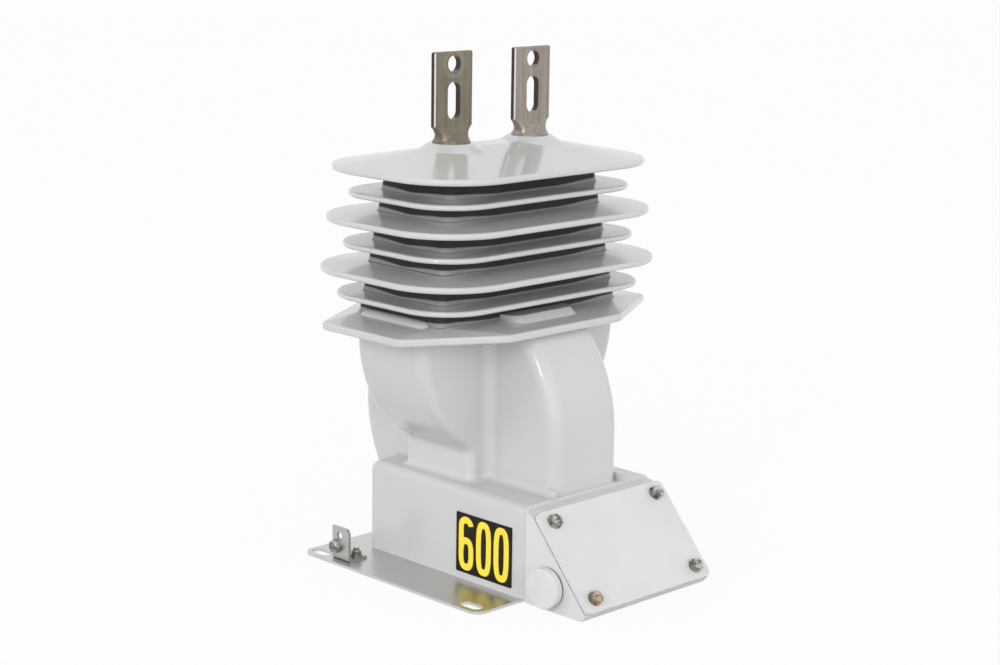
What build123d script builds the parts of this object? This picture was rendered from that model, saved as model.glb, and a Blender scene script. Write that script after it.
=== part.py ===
"""Outdoor current transformer of cast resin, for a medium-voltage overhead line or substation.

Millimetres, +Z up. The origin is midway between the two terminals, on the underside of the base plate.
X runs from terminal to terminal, and -Y faces the secondary box. One resin casting holds a wound ring core,
whose axis runs along X, and a U-shaped primary bar that passes through the ring's window.
"""
from build123d import *
import math
import os

os.makedirs("parts", exist_ok=True)

# Base plate and its four mounting slots, which run along Y; the plate's edges are set from the slots
SLOT_WIDTH = 11.0
SLOT_LENGTH = 22.0
SLOT_SPACING_X = 235.0
SLOT_SPACING_Y = 190.5
SLOT_MIDDLE_Y = -9.25
PLATE_HALF_X = SLOT_SPACING_X / 2 + 10.0
PLATE_FRONT = SLOT_SPACING_Y / 2 - SLOT_MIDDLE_Y + 17.0
PLATE_BACK = SLOT_SPACING_Y / 2 + SLOT_MIDDLE_Y + 14.5
PLATE_T = 2.5
PLATE_CORNER = 10.0

# Base block of the casting
BLOCK_HALF_X = 76.0
BLOCK_FRONT = 124.7
BLOCK_BACK = 70.4
BLOCK_TOP = 82.5
BLOCK_CORNER = 6.0
BLOCK_TOP_ROUND = 8.0
FRONT_EDGE_ROUND = 2.0

# Ring-core housing: a wheel-shaped lobe whose axis runs along X
RING_CENTRE_Z = 126.4
RING_HOUSING_R = 121.9
RING_HOUSING_HALF_X = 39.6
RING_HOUSING_ROUND = 12.0
RING_LEDGE_Z = 227.5

# U-shaped primary housing across the ring, with a narrower foot below it
U_HALF_Y = 42.2
U_BEND_R = 106.8
U_STRAIGHT = 10.6
U_HALF_X = U_STRAIGHT + U_BEND_R
U_BEND_Z = 204.6
U_TOP_Z = 228.0
U_TOP_ROUND = 10.0
U_ROUND = 9.0
FOOT_HALF_X = 60.4
HOLLOW_ROUND = 10.0
FOOT_HOLLOW = 6.0

# Sheds: the first, third and fifth from the top are wide, and the seventh has clipped corners
LAST_SHED_Z = 213.4
LAST_SHED_HALF_X = 149.5
LAST_SHED_HALF_Y = 95.0
LAST_RIM_T = 7.0
LAST_SHED_RISE = 3.6
CLIP_X = 83.0
CLIP_Y = 47.0
CLIP_CORNER = 9.0
SHED_COUNT = 6
SHED_PITCH = 21.45
SHED_TOP_Z = LAST_SHED_Z + SHED_COUNT * SHED_PITCH + 2.4
SHED_WIDE = 47.5
SHED_NARROW = 31.0
NARROW_DROP = 0.5
RIM_WIDE_T = 5.5
RIM_NARROW_T = 4.8
RIM_ROUND = 2.2
WIDE_RISE = 2.7
NARROW_RISE = 0.5
SHED_UNDER_SLOPE = 0.05

# Outline from which the sheds spread: half sizes at the top shed, growing downwards
SPREAD_HALF_X = 87.2
SPREAD_HALF_Y = 42.8
SPREAD_TAPER_X = 0.10
SPREAD_TAPER_Y = 0.06
SPREAD_CORNER = 14.0

# Column that carries the sheds: half sizes and corner at its head and at its foot
COLUMN_HEAD = (87.5, 43.5, 12.0)
COLUMN_FOOT = (109.0, 53.5, 8.0)

# Hipped roof with a narrow ridge over the top shed, and the raised bosses round the terminals, rooted in its slopes
ROOF_HALF_X = 62.0
ROOF_HALF_Y = 12.0
ROOF_CORNER = 11.0
ROOF_Z = SHED_TOP_Z + 20.0
BOSS_R = 34.5
BOSS_ROOT = 6.0
BOSS_TOP_R = 19.0
BOSS_TOP_Z = ROOF_Z + 3.5

# Primary terminals: copper bars, flat at the top and round below
TERMINAL_SPACING = 93.4
PAD_WIDTH = 43.7
PAD_T = 5.7
PAD_STRAIGHT = 62.7
PAD_EDGE_ROUND = 1.8
HOLE_R = 7.15
HOLE_DROP = 10.3
PAD_SLOT_LENGTH = 32.0
PAD_SLOT_DROP = 41.1
NECK_WIDTH = 35.0
NECK_T = 12.0
NECK_DROP = 5.0
NECK_LENGTH = 12.0
STEM_R = 16.0
STEM_TOP_Z = BOSS_TOP_Z + 1.5
STEM_BOTTOM_Z = STEM_TOP_Z - 69.4
PAD_TOP_Z = STEM_TOP_Z + NECK_LENGTH + PAD_STRAIGHT

# Ring core and the winding round it
CORE_R = 103.0
CORE_BORE_R = 57.0
CORE_HALF_X = 24.0
WINDING_T = 5.0
WINDING_ROUND = 3.0

# Primary bar: a strap on edge, bent to a U that runs midway in its housing
BAR_WIDTH = 46.0
BAR_T = 14.0
BAR_DEPTH = 26.8
BAR_BEND_R = U_BEND_R - BAR_DEPTH
BAR_KNEE_R = 10.0
BAR_KNEE_Z = STEM_BOTTOM_Z - 15.0
BAR_LEG_Z = U_BEND_Z + 7.4

# Parting allowance between the casting and what is cast into it
CAST_GAP = 0.2

# Secondary box on the front of the block
BOX_WALL = 4.0
BOX_BOTTOM_Z = 0.5
BOX_LIP_Z = 5.5
BOX_FACE_BOTTOM_Y = BLOCK_FRONT + 68.7
BOX_FACE_TOP_Y = BLOCK_FRONT + 7.4
BOX_TOP_Z = BLOCK_TOP - 6.6
BOX_RIM = 8.0
BOX_ROUND = 4.0

# Cover, gasket and cover screws
COVER_T = 4.0
COVER_CORNER = 5.0
GASKET_T = 1.5
GASKET_INSET = 1.2
COVER_SCREW_X = BLOCK_HALF_X - 13.8
COVER_SCREW_INSET = 11.0
SCREW_R = 3.0
SCREW_CLEARANCE = 0.3
HEAD_ACROSS = 10.0
HEAD_T = 4.2
WASHER_R = 6.4
WASHER_T = 1.4
SCREW_BOSS_R = 7.0
SCREW_BOSS_LENGTH = 13.0
HEAD_SLOT_WIDTH = 1.2
HEAD_SLOT_DEPTH = 1.6

# Conduit holes in the two sides of the box, and the plug in the left one
CONDUIT_R = 15.2
CONDUIT_Y = -BLOCK_FRONT - 26.9
CONDUIT_Z = 20.8
CONDUIT_BOSS_R = 19.5
CONDUIT_BOSS_LENGTH = 6.0
PLUG_HEAD_R = 17.0
PLUG_HEAD_T = 7.0
PLUG_CLEARANCE = 0.15
SEAL_R = 16.6
SEAL_T = 1.6

# Secondary terminal block and its two studs
TBLOCK_WIDTH = 54.0
TBLOCK_HEIGHT = 32.0
TBLOCK_T = 14.0
TBLOCK_Z = 42.0
TBLOCK_RIB_T = 3.0
TBLOCK_RIB_RISE = 4.0
TBLOCK_GAP = 1.0
STUD_SPACING = 26.0
STUD_R = 3.0
STUD_LENGTH = 30.5
STUD_ROOT_LENGTH = 8.0
STUD_ROOT_DEPTH = 14.0
NUT_ACROSS = 10.0
NUT_T = 5.0
STUD_WASHER_R = 6.5
STUD_WASHER_T = 1.2
LINK_WIDTH = 12.0
LINK_T = 2.0
LEAD_R = 2.2
LEAD_CLEARANCE = 0.3

# Threaded inserts and the screws that go into them
INSERT_R = 5.5
INSERT_LENGTH = 14.0
BOX_SCREW_X = BLOCK_HALF_X - 28.0
BOX_SCREW_LOW_Z = 14.0
BOX_SCREW_HIGH_Z = 58.0
BOX_SCREW_LENGTH = 15.0
PLATE_SCREW_X = BLOCK_HALF_X - 20.0
PLATE_SCREW_FRONT_Y = -BLOCK_FRONT + 28.7
PLATE_SCREW_BACK_Y = BLOCK_BACK - 26.4
PLATE_SCREW_HEAD_R = 6.0
PLATE_SCREW_LENGTH = 9.0
GROUND_SCREW_X = -BLOCK_HALF_X + 16.0
GROUND_SCREW_Z = 38.0

# Ground lug: an angle whose upright faces -X
LUG_T = 2.5
LUG_FACE_X = -PLATE_HALF_X + 7.0
LUG_TOP_Z = 32.0
LUG_FRONT_Y = 46.7
LUG_BACK_Y = 68.2
LUG_FOOT_LENGTH = 21.0
LUG_HOLE_R = 3.5
LUG_HOLE_Y = 58.7
LUG_HOLE_Z = 24.0
LUG_BOLT_Y = 62.0
LUG_BOLT_Z = 14.5
LUG_BOLT_LENGTH = 14.0
LUG_STUD_X = LUG_FACE_X + 13.5
LUG_STUD_Y = 52.0

# Rating label on the block's left face
LABEL_FRONT_Y = -BLOCK_FRONT + 15.6
LABEL_BACK_Y = -BLOCK_FRONT + 82.0
LABEL_BOTTOM_Z = 8.8
LABEL_TOP_Z = 61.1
LABEL_T = 0.8


def rounded(half_x, half_y, corner, z):
    """A horizontal rounded rectangle at height z."""
    return Pos(0, 0, z) * RectangleRounded(2 * half_x, 2 * half_y, corner)


def spread_section(z, size_z, grow=0.0):
    """The outline the sheds spread from, for height size_z, grown by an overhang and laid at height z."""
    down = SHED_TOP_Z - size_z
    half_x = SPREAD_HALF_X + SPREAD_TAPER_X * down + grow
    half_y = SPREAD_HALF_Y + SPREAD_TAPER_Y * down + grow
    return rounded(half_x, half_y, SPREAD_CORNER + grow, z)


def round_rim(shed, rim_z, rim_t):
    """Rounds the upper and lower edge of a shed's rim."""
    rims = shed.edges().filter_by(lambda e: min(abs(e.center().Z - rim_z), abs(e.center().Z - rim_z - rim_t)) < 0.01)
    return fillet(rims, min(RIM_ROUND, 0.45 * rim_t))


def shed(rim_z, overhang, rim_t, rise):
    """A shed whose top falls gently from the column to an upright rim."""
    under = spread_section(rim_z + SHED_UNDER_SLOPE * overhang, rim_z)
    rim_low = spread_section(rim_z, rim_z, overhang)
    rim_high = spread_section(rim_z + rim_t, rim_z, overhang)
    root = spread_section(rim_z + rim_t + rise, rim_z)
    return round_rim(loft([under, rim_low, rim_high, root], ruled=True), rim_z, rim_t)


def top_shed():
    """The top shed, whose upper side is a hipped roof."""
    under = spread_section(SHED_TOP_Z + SHED_UNDER_SLOPE * SHED_WIDE, SHED_TOP_Z)
    rim_low = spread_section(SHED_TOP_Z, SHED_TOP_Z, SHED_WIDE)
    rim_high = spread_section(SHED_TOP_Z + RIM_WIDE_T, SHED_TOP_Z, SHED_WIDE)
    roof = rounded(ROOF_HALF_X, ROOF_HALF_Y, ROOF_CORNER, ROOF_Z)
    return round_rim(loft([under, rim_low, rim_high, roof], ruled=True), SHED_TOP_Z, RIM_WIDE_T)


def clipped_section(half_x, half_y, clip_x, clip_y, corner, z):
    """A horizontal rectangle whose corners are cut off slantwise, with every corner left rounded."""
    low_x, low_y = half_x - clip_x, half_y - clip_y
    corners = [(half_x, low_y), (low_x, half_y), (-low_x, half_y), (-half_x, low_y),
               (-half_x, -low_y), (-low_x, -half_y), (low_x, -half_y), (half_x, -low_y)]
    outline = make_face(Polyline(*corners, close=True))
    return Pos(0, 0, z) * fillet(outline.vertices(), corner)


def last_shed():
    """The lowest shed: a wide one whose four corners are cut off slantwise."""
    z = LAST_SHED_Z
    rim = clipped_section(LAST_SHED_HALF_X, LAST_SHED_HALF_Y, CLIP_X, CLIP_Y, CLIP_CORNER, z)
    slab = round_rim(extrude(rim, LAST_RIM_T), z, LAST_RIM_T)
    half_x, half_y = LAST_SHED_HALF_X - RIM_ROUND, LAST_SHED_HALF_Y - RIM_ROUND
    top_z = z + LAST_RIM_T
    foot = clipped_section(half_x, half_y, CLIP_X, CLIP_Y, CLIP_CORNER - RIM_ROUND, top_z)
    root_x, root_y, root_clip = COLUMN_FOOT
    root = clipped_section(root_x, root_y, root_clip, root_clip, root_clip / 2, top_z + LAST_SHED_RISE)
    return slab + loft([foot, root], ruled=True)


def column():
    """The shaft between the roof and the trunk, wider at its foot."""
    head = rounded(*COLUMN_HEAD, SHED_TOP_Z + RIM_WIDE_T)
    foot = rounded(*COLUMN_FOOT, LAST_SHED_Z)
    return loft([foot, head], ruled=True)


def ring_housing():
    """The lobe round the ring core: upright at the front, round over the back, and cut level above the lowest shed."""
    low_z = PLATE_T + 20
    r = RING_HOUSING_R
    back_y = math.sqrt(r ** 2 - (RING_CENTRE_Z - low_z) ** 2)
    front = Line((-r, low_z), (-r, RING_CENTRE_Z))
    over = ThreePointArc((-r, RING_CENTRE_Z), (0, RING_CENTRE_Z + r), (r, RING_CENTRE_Z))
    belly_angle = 0.5 * math.asin((RING_CENTRE_Z - low_z) / r)
    middle = (r * math.cos(belly_angle), RING_CENTRE_Z - r * math.sin(belly_angle))
    belly = ThreePointArc((r, RING_CENTRE_Z), middle, (back_y, low_z))
    bottom = Line((back_y, low_z), (-r, low_z))
    face = make_face([front, over, belly, bottom])
    lobe = extrude(Plane.YZ * face, RING_HOUSING_HALF_X, both=True)
    rims = lobe.edges().filter_by(lambda e: abs(abs(e.center().X) - RING_HOUSING_HALF_X) < 0.01 and e.center().Z > low_z + 1)
    lobe = fillet(rims, RING_HOUSING_ROUND)
    return lobe - Pos(0, 0, RING_LEDGE_Z + r) * Box(4 * r, 4 * r, 2 * r)


def u_housing():
    """The lobe round the primary bar: straight sides, two bends and a narrower foot down to the block."""
    bend_x = U_STRAIGHT
    meet_z = U_BEND_Z - math.sqrt(U_BEND_R ** 2 - (FOOT_HALF_X - bend_x) ** 2)
    half = 0.5 * math.acos((FOOT_HALF_X - bend_x) / U_BEND_R)
    mid_x = bend_x + U_BEND_R * math.cos(half)
    mid_z = U_BEND_Z - U_BEND_R * math.sin(half)
    low_z = PLATE_T + 20
    right = [Line((FOOT_HALF_X, low_z), (FOOT_HALF_X, meet_z)),
             ThreePointArc((FOOT_HALF_X, meet_z), (mid_x, mid_z), (U_HALF_X, U_BEND_Z)),
             Line((U_HALF_X, U_BEND_Z), (U_HALF_X, U_TOP_Z))]
    left = [Line((-U_HALF_X, U_TOP_Z), (-U_HALF_X, U_BEND_Z)),
            ThreePointArc((-U_HALF_X, U_BEND_Z), (-mid_x, mid_z), (-FOOT_HALF_X, meet_z)),
            Line((-FOOT_HALF_X, meet_z), (-FOOT_HALF_X, low_z))]
    across = [Line((U_HALF_X, U_TOP_Z), (-U_HALF_X, U_TOP_Z)), Line((-FOOT_HALF_X, low_z), (FOOT_HALF_X, low_z))]
    face = make_face(right + left + across)
    inner = face.vertices().filter_by(lambda v: abs(v.Y - meet_z) < 0.01)
    face = fillet(inner, HOLLOW_ROUND)
    upper = face.vertices().filter_by(lambda v: abs(v.Y - U_TOP_Z) < 0.01)
    face = fillet(upper, U_TOP_ROUND)
    lobe = extrude(Plane.XZ * face, U_HALF_Y, both=True)
    rims = lobe.edges().filter_by(lambda e: abs(abs(e.center().Y) - U_HALF_Y) < 0.01 and e.center().Z > low_z + 1)
    return fillet(rims, U_ROUND)


def hollow_corner(x, y, low_z, high_z):
    """A strip that rounds the upright inner corner where the two lobes cross."""
    r = HOLLOW_ROUND
    sx, sy = math.copysign(1, x), math.copysign(1, y)
    square = Pos(x + sx * r / 2, y + sy * r / 2) * Rectangle(r, r)
    strip = square - Pos(x + sx * r, y + sy * r) * Circle(r)
    return Pos(0, 0, low_z) * extrude(strip, high_z - low_z)


def base_block():
    """The block at the foot of the casting, rounded over its sides and back and flat at the front."""
    spare = 2 * BLOCK_TOP_ROUND
    length = BLOCK_FRONT + spare + BLOCK_BACK
    middle_y = (BLOCK_BACK - BLOCK_FRONT - spare) / 2
    outline = Pos(0, middle_y, PLATE_T) * RectangleRounded(2 * BLOCK_HALF_X, length, BLOCK_CORNER)
    block = extrude(outline, BLOCK_TOP - PLATE_T)
    top = block.edges().filter_by(lambda e: abs(e.center().Z - BLOCK_TOP) < 0.01)
    block = fillet(top, BLOCK_TOP_ROUND)
    block -= Pos(0, -BLOCK_FRONT - spare, BLOCK_TOP / 2) * Box(4 * BLOCK_HALF_X, 2 * spare, 2 * BLOCK_TOP)
    front = block.edges().filter_by(Axis.X).filter_by(
        lambda e: abs(e.center().Z - BLOCK_TOP) < 0.01 and e.center().Y < 0)
    return fillet(front, FRONT_EDGE_ROUND)


def foot_hollow(side):
    """The strip that rounds the inner corner between the lobes' feet and the block's top."""
    r = FOOT_HOLLOW
    ring_x, foot_x = RING_HOUSING_HALF_X, FOOT_HALF_X
    in_r, out_r = HOLLOW_ROUND, U_ROUND
    y = U_HALF_Y
    far = BLOCK_FRONT
    s = 1 - math.sqrt(0.5)

    def point(px, py):
        return (side * px, py, BLOCK_TOP)

    path = Wire([
        Line(point(ring_x, -far), point(ring_x, -y - in_r)),
        ThreePointArc(point(ring_x, -y - in_r), point(ring_x + in_r * s, -y - in_r * s), point(ring_x + in_r, -y)),
        Line(point(ring_x + in_r, -y), point(foot_x - out_r, -y)),
        ThreePointArc(point(foot_x - out_r, -y), point(foot_x - out_r * s, -y + out_r * s), point(foot_x, -y + out_r)),
        Line(point(foot_x, -y + out_r), point(foot_x, y - out_r)),
        ThreePointArc(point(foot_x, y - out_r), point(foot_x - out_r * s, y - out_r * s), point(foot_x - out_r, y)),
        Line(point(foot_x - out_r, y), point(ring_x + in_r, y)),
        ThreePointArc(point(ring_x + in_r, y), point(ring_x + in_r * s, y + in_r * s), point(ring_x, y + in_r)),
        Line(point(ring_x, y + in_r), point(ring_x, far)),
    ])
    start = Plane(origin=point(ring_x, -far), x_dir=(side, 0, 0), z_dir=(0, -side, 0))
    profile = Pos(r / 2, r / 2) * Rectangle(r, r) - Pos(r, r) * Circle(r)
    strip = sweep(start * profile, path=path)
    return strip & (Pos(0, 0, r) * base_block())


def terminal_boss(x):
    """The low cone of resin round a terminal."""
    cone = loft([Pos(x, 0, ROOF_Z - BOSS_ROOT) * Circle(BOSS_R), Pos(x, 0, BOSS_TOP_Z) * Circle(BOSS_TOP_R)])
    top = cone.edges().filter_by(lambda e: abs(e.center().Z - BOSS_TOP_Z) < 0.01)
    return fillet(top, 1.5)


def bar_path():
    """The centre line of the primary bar: down one leg, through the ring's window and up the other."""
    half = BAR_BEND_R + U_STRAIGHT
    top_x = TERMINAL_SPACING / 2
    bend_x = U_STRAIGHT
    left_top = Vector(-top_x, 0, STEM_BOTTOM_Z)
    right_top = Vector(top_x, 0, STEM_BOTTOM_Z)
    left_leg = FilletPolyline(left_top, Vector(-top_x, 0, BAR_KNEE_Z), Vector(-half, 0, BAR_LEG_Z),
                              Vector(-half, 0, U_BEND_Z), radius=BAR_KNEE_R)
    right_leg = FilletPolyline(Vector(half, 0, U_BEND_Z), Vector(half, 0, BAR_LEG_Z),
                               Vector(top_x, 0, BAR_KNEE_Z), right_top, radius=BAR_KNEE_R)
    low_z = U_BEND_Z - BAR_BEND_R
    s = BAR_BEND_R * math.sqrt(0.5)
    left_bend = ThreePointArc((-half, 0, U_BEND_Z), (-bend_x - s, 0, U_BEND_Z - s), (-bend_x, 0, low_z))
    bottom = Line((-bend_x, 0, low_z), (bend_x, 0, low_z))
    right_bend = ThreePointArc((bend_x, 0, low_z), (bend_x + s, 0, U_BEND_Z - s), (half, 0, U_BEND_Z))
    return Wire(list(left_leg.edges()) + [left_bend.edge(), bottom.edge(), right_bend.edge()] + list(right_leg.edges()))


def primary_bar(gap=0.0):
    """The strap swept along its path, or with a gap, the hollow that it leaves in the resin."""
    start = Plane(origin=(-TERMINAL_SPACING / 2, 0, STEM_BOTTOM_Z), x_dir=(1, 0, 0), z_dir=(0, 0, -1))
    section = start * Rectangle(BAR_T + 2 * gap, BAR_WIDTH + 2 * gap)
    return sweep(section, path=bar_path(), transition=Transition.RIGHT)


def torus_ring(outer_r, inner_r, half_x, corner):
    """A ring of rounded rectangular section, its axis along X through the ring's centre."""
    section = Pos((outer_r + inner_r) / 2, 0) * RectangleRounded(outer_r - inner_r, 2 * half_x, corner)
    ring = revolve(Plane.XZ * section, Axis.Z)
    return Pos(0, 0, RING_CENTRE_Z) * Rot(0, 90, 0) * ring


def ring_core(gap=0.0):
    """The wound strip core, square in section."""
    tube = Cylinder(CORE_R + gap, 2 * (CORE_HALF_X + gap)) - Cylinder(CORE_BORE_R - gap, 4 * CORE_HALF_X)
    return Pos(0, 0, RING_CENTRE_Z) * Rot(0, 90, 0) * tube


def winding_outside(gap=0.0):
    """The outside of the secondary winding, without the core."""
    grow = WINDING_T + gap
    return torus_ring(CORE_R + grow, CORE_BORE_R - grow, CORE_HALF_X + grow, WINDING_ROUND)


def terminal(side):
    """A terminal: a flat pad with a round hole above a slot, drawn in to a round stem."""
    x = side * TERMINAL_SPACING / 2
    shoulder_z = PAD_TOP_Z - PAD_STRAIGHT
    pad = Pos(x, 0, PAD_TOP_Z - PAD_STRAIGHT / 2) * Box(PAD_WIDTH, PAD_T, PAD_STRAIGHT)
    pad = fillet(pad.edges().filter_by(lambda e: e.center().Z > shoulder_z + 1), PAD_EDGE_ROUND)
    hole = Pos(x, 0, PAD_TOP_Z - HOLE_DROP) * Rot(90, 0, 0) * Cylinder(HOLE_R, 2 * PAD_T)
    slot_plane = Plane(origin=(x, PAD_T, PAD_TOP_Z - PAD_SLOT_DROP), x_dir=(0, 0, 1), z_dir=(0, -1, 0))
    slot = extrude(slot_plane * SlotOverall(PAD_SLOT_LENGTH, 2 * HOLE_R), 2 * PAD_T)
    neck = loft([
        Pos(x, 0, shoulder_z) * SlotOverall(PAD_WIDTH - 0.4, PAD_T - 0.1),
        Pos(x, 0, shoulder_z - NECK_DROP) * SlotOverall(NECK_WIDTH, NECK_T),
        Pos(x, 0, STEM_TOP_Z) * SlotOverall(2 * STEM_R + 0.4, 2 * STEM_R),
    ])
    stem_length = STEM_TOP_Z - STEM_BOTTOM_Z
    stem = extrude(Pos(x, 0, STEM_BOTTOM_Z) * SlotOverall(2 * STEM_R + 0.4, 2 * STEM_R), stem_length)
    return pad - hole - slot + neck + stem


def stem_hollow(side):
    """The hollow in the resin round a terminal's stem."""
    x = side * TERMINAL_SPACING / 2
    outline = SlotOverall(2 * (STEM_R + CAST_GAP) + 0.4, 2 * (STEM_R + CAST_GAP))
    low_z = STEM_BOTTOM_Z - CAST_GAP
    return extrude(Pos(x, 0, low_z) * outline, PAD_TOP_Z - low_z)


def hexagon(across, height):
    """A hexagonal prism with its foot on the XY plane."""
    return extrude(RegularPolygon(across / 2, 6, major_radius=False), height)


def along_y(x, y, z):
    """A place at (x, y, z) whose local Z points out of the block's front, along -Y."""
    return Location(Plane(origin=(x, y, z), x_dir=(1, 0, 0), z_dir=(0, -1, 0)))


def cover_frame():
    """The plane of the cover's outer face, its local Y running up the slope."""
    top = Vector(0, -BOX_FACE_TOP_Y, BOX_TOP_Z)
    bottom = Vector(0, -BOX_FACE_BOTTOM_Y, BOX_LIP_Z)
    up = (top - bottom).normalized()
    out = Vector(1, 0, 0).cross(up)
    middle = (top + bottom) * 0.5
    return Plane(origin=middle + out * (GASKET_T + COVER_T), x_dir=(1, 0, 0), z_dir=out)


def cover_length():
    """The length of the cover up its slope."""
    return math.hypot(BOX_FACE_BOTTOM_Y - BOX_FACE_TOP_Y, BOX_TOP_Z - BOX_LIP_Z)


def cover_points():
    """The four screw places in the cover's own plane."""
    up = cover_length() / 2 - COVER_SCREW_INSET
    return [(sx * COVER_SCREW_X, sy * up) for sy in (1, -1) for sx in (-1, 1)]


def on_cover(depth, shape):
    """Copies of a shape at the cover's screws, sunk by a depth below the cover's outer face."""
    frame = cover_frame()
    return [frame.location * Pos(x, y, -depth) * shape for x, y in cover_points()]


def box_outline():
    """The box seen from its side, in the YZ plane."""
    points = [(-BLOCK_FRONT, BOX_BOTTOM_Z), (-BOX_FACE_BOTTOM_Y + 5, BOX_BOTTOM_Z), (-BOX_FACE_BOTTOM_Y, BOX_LIP_Z),
              (-BOX_FACE_TOP_Y, BOX_TOP_Z), (-BLOCK_FRONT, BOX_TOP_Z + 2)]
    return make_face(Polyline(*points, close=True))


def box_housing():
    """The hollow box with its slanted open front."""
    outline = box_outline()
    body = extrude(Plane.YZ * outline, BLOCK_HALF_X, both=True)
    hollow = extrude(Plane.YZ * offset(outline, -BOX_WALL), BLOCK_HALF_X - BOX_WALL, both=True)
    frame = cover_frame()
    depth = GASKET_T + COVER_T
    mouth = RectangleRounded(2 * (BLOCK_HALF_X - BOX_RIM), cover_length() - 2 * BOX_RIM, COVER_CORNER)
    body = body - hollow - extrude(frame * mouth, -(depth + 2 * BOX_WALL))
    bosses = on_cover(depth + SCREW_BOSS_LENGTH / 2, Cylinder(SCREW_BOSS_R, SCREW_BOSS_LENGTH))
    whole = extrude(Plane.YZ * outline, BLOCK_HALF_X, both=True)
    for boss in bosses:
        body += boss & whole
    for side in (-1, 1):
        x = side * (BLOCK_HALF_X - BOX_WALL - CONDUIT_BOSS_LENGTH / 2)
        body += (Pos(x, CONDUIT_Y, CONDUIT_Z) * Rot(0, 90, 0) * Cylinder(CONDUIT_BOSS_R, CONDUIT_BOSS_LENGTH)) & whole
    bore_length = SCREW_BOSS_LENGTH - 1
    for hole in on_cover(depth + bore_length / 2, Cylinder(SCREW_R + SCREW_CLEARANCE, bore_length)):
        body -= hole
    body -= Pos(0, CONDUIT_Y, CONDUIT_Z) * Rot(0, 90, 0) * Cylinder(CONDUIT_R, 3 * BLOCK_HALF_X)
    window = Box(TBLOCK_WIDTH + 2 * TBLOCK_GAP, 4 * BOX_WALL, TBLOCK_HEIGHT + 2 * TBLOCK_GAP)
    body -= Pos(0, -BLOCK_FRONT, TBLOCK_Z) * window
    for x, z in box_screw_points() + [(GROUND_SCREW_X, GROUND_SCREW_Z)]:
        body -= along_y(x, -BLOCK_FRONT, z) * Cylinder(SCREW_R + SCREW_CLEARANCE, 4 * BOX_WALL)
    return body


def box_screw_points():
    """The four screws that hold the box to the casting."""
    return [(sx * BOX_SCREW_X, z) for z in (BOX_SCREW_LOW_Z, BOX_SCREW_HIGH_Z) for sx in (-1, 1)]


def plate_screw_points():
    """The four countersunk screws that hold the plate to the casting."""
    return [(sx * PLATE_SCREW_X, y) for y in (PLATE_SCREW_FRONT_Y, PLATE_SCREW_BACK_Y) for sx in (-1, 1)]


def cover_plate(thickness, depth, inset=0.0):
    """The cover's outline with its screw holes, of some thickness, at some depth below the outer face."""
    frame = cover_frame()
    outline = RectangleRounded(2 * (BLOCK_HALF_X - inset), cover_length() - 2 * inset, COVER_CORNER - inset)
    for x, y in cover_points():
        outline -= Pos(x, y) * Circle(SCREW_R + SCREW_CLEARANCE)
    return extrude(frame * Pos(0, 0, -depth) * outline, -thickness)


def cover_gasket():
    """The rubber frame between the box's rim and the cover."""
    frame = cover_frame()
    whole = cover_plate(GASKET_T, COVER_T, GASKET_INSET)
    mouth = RectangleRounded(2 * (BLOCK_HALF_X - BOX_RIM), cover_length() - 2 * BOX_RIM, COVER_CORNER)
    for x, y in cover_points():
        mouth -= Pos(x, y) * Circle(SCREW_BOSS_R)
    return whole - extrude(frame * Pos(0, 0, -COVER_T / 2) * mouth, -(COVER_T + GASKET_T))


def slotted_head_screw(length):
    """A hexagon-head screw with a driver slot, its head standing on the XY plane and its shank below."""
    head = chamfered_hexagon(HEAD_ACROSS, HEAD_T)
    head -= Pos(0, 0, HEAD_T) * Box(2 * HEAD_ACROSS, HEAD_SLOT_WIDTH, 2 * HEAD_SLOT_DEPTH)
    return head + Pos(0, 0, -length / 2) * Cylinder(SCREW_R, length)


def chamfered_hexagon(across, height):
    """A hexagon whose upper corners are turned off."""
    cone = extrude(Circle(across / 2 * 1.14), height)
    cone = chamfer(cone.edges().filter_by(lambda e: e.center().Z > height - 0.01), 0.9)
    return hexagon(across, height) & cone


def nut(across, height, bore):
    """A hexagon nut with its foot on the XY plane."""
    return chamfered_hexagon(across, height) - Cylinder(bore, 3 * height)


def washer(outer, bore, height):
    """A flat washer with its foot on the XY plane."""
    return extrude(Circle(outer) - Circle(bore), height)


def stud_places(lift):
    """The two secondary studs' places, a distance out from the block's front."""
    return [along_y(sx * STUD_SPACING / 2, -BLOCK_FRONT - lift, TBLOCK_Z) for sx in (-1, 1)]


def terminal_block():
    """The moulded block behind the studs, with three barrier ribs."""
    body = Box(TBLOCK_WIDTH, TBLOCK_HEIGHT, TBLOCK_T, align=(Align.CENTER, Align.CENTER, Align.MIN))
    body = chamfer(body.edges().filter_by(lambda e: e.center().Z > TBLOCK_T - 0.01), 1.0)
    for x in (-1, 0, 1):
        rib = Box(TBLOCK_RIB_T, TBLOCK_HEIGHT - 2, TBLOCK_RIB_RISE + 1, align=(Align.CENTER, Align.CENTER, Align.MIN))
        body += Pos(x * (TBLOCK_WIDTH / 2 - TBLOCK_RIB_T), 0, TBLOCK_T - 1) * rib
    for x in (-1, 1):
        body -= Pos(x * STUD_SPACING / 2, 0, 0) * Cylinder(STUD_R + SCREW_CLEARANCE, 4 * TBLOCK_T)
    return along_y(0, -BLOCK_FRONT, TBLOCK_Z) * body


def secondary_stud():
    """A threaded stud with a hexagonal root that is cast into the resin."""
    root = Pos(0, 0, -STUD_ROOT_DEPTH) * hexagon(NUT_ACROSS, STUD_ROOT_LENGTH)
    full = STUD_LENGTH + STUD_ROOT_DEPTH
    return root + Pos(0, 0, STUD_LENGTH - full / 2) * Cylinder(STUD_R, full)


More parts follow.
